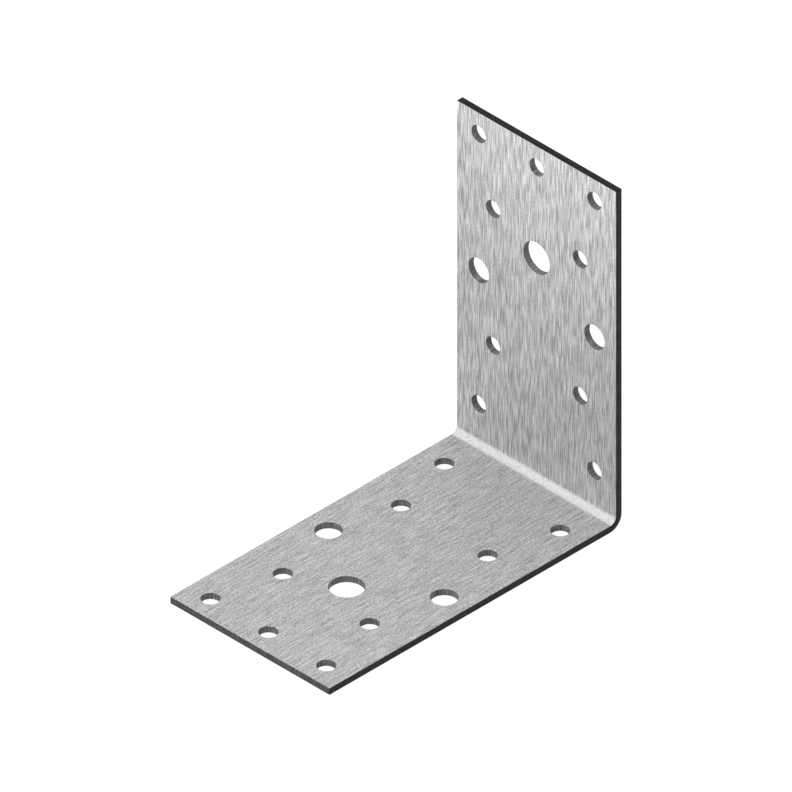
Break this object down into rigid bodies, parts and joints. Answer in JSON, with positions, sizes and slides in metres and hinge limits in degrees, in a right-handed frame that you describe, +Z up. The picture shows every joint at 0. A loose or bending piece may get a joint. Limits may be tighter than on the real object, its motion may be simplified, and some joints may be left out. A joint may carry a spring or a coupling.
{
  "type": "angle bracket",
  "caption": "Folded sheet-steel angle bracket with equal perforated legs, for nailing, screwing or bolting members together at a right angle.",
  "frame": {"origin": "middle of the footprint, on the underside of the base leg", "axes": "+X along the fold, +Y from the free end of the base leg to the back of the wall leg, +Z up along the wall leg"},
  "size_m": [0.055, 0.101, 0.101],
  "materials": {
    "sheet_steel": "satin zinc-grey sheet with a fine straight grain along the strip, darker sheared and punched edges"
  },
  "bodies": {
    "root": {"bracket": "sheet_steel"}
  },
  "joints": []
}
